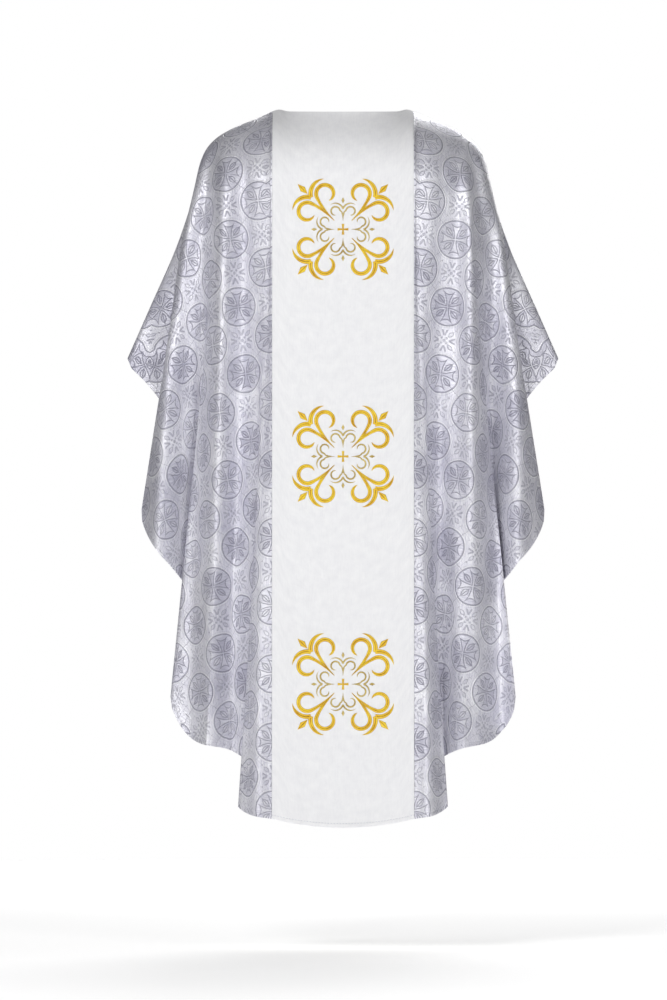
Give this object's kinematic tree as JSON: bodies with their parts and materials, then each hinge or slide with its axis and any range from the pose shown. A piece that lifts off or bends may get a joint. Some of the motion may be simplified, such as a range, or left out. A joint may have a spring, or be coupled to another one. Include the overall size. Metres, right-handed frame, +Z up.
{
  "type": "chasuble",
  "caption": "Full lined vestment worn over the shoulders, open at neck and sides: brocade panels, plain middle band front and back, gold scroll embroidery, stepped folds falling to a curved hem",
  "frame": {"origin": "middle of the neck opening, level with the inner ends of the shoulder seams, where the garment rests on the wearer", "axes": "+Z up, +X to the wearer's right, +Y to the front, so the back of the garment faces -Y"},
  "size_m": [0.76, 0.434, 1.2566],
  "materials": {
    "silver_brocade": "woven silver-white brocade, satin and raised figure",
    "white_band_cloth": "plain matte white",
    "interlining": "stiff plain weave",
    "satin_lining": "smooth light satin",
    "binding_tape": "plain woven tape",
    "gold_thread": "glossy satin stitch in metallic thread"
  },
  "bodies": {
    "root": {"back_band": "white_band_cloth", "back_left_panel": "silver_brocade", "back_right_panel": "silver_brocade", "back_band_interlining": "interlining", "back_lining": "satin_lining", "back_neck_binding": "binding_tape", "back_scroll_1_upper_right": "gold_thread", "back_scroll_1_upper_left": "gold_thread", "back_scroll_1_lower_left": "gold_thread", "back_scroll_1_lower_right": "gold_thread", "back_cross_1": "gold_thread", "back_scroll_2_upper_right": "gold_thread", "back_scroll_2_upper_left": "gold_thread", "back_scroll_2_lower_left": "gold_thread", "back_scroll_2_lower_right": "gold_thread", "back_cross_2": "gold_thread", "back_scroll_3_upper_right": "gold_thread", "back_scroll_3_upper_left": "gold_thread", "back_scroll_3_lower_left": "gold_thread", "back_scroll_3_lower_right": "gold_thread", "back_cross_3": "gold_thread", "front_band": "white_band_cloth", "front_left_panel": "silver_brocade", "front_right_panel": "silver_brocade", "front_band_interlining": "interlining", "front_lining": "satin_lining", "front_neck_binding": "binding_tape", "front_scroll_1_upper_right": "gold_thread", "front_scroll_1_upper_left": "gold_thread", "front_scroll_1_lower_left": "gold_thread", "front_scroll_1_lower_right": "gold_thread", "front_cross_1": "gold_thread", "front_scroll_2_upper_right": "gold_thread", "front_scroll_2_upper_left": "gold_thread", "front_scroll_2_lower_left": "gold_thread", "front_scroll_2_lower_right": "gold_thread", "front_cross_2": "gold_thread", "front_scroll_3_upper_right": "gold_thread", "front_scroll_3_upper_left": "gold_thread", "front_scroll_3_lower_left": "gold_thread", "front_scroll_3_lower_right": "gold_thread", "front_cross_3": "gold_thread", "left_shoulder_tape": "binding_tape", "right_shoulder_tape": "binding_tape"}
  },
  "joints": []
}
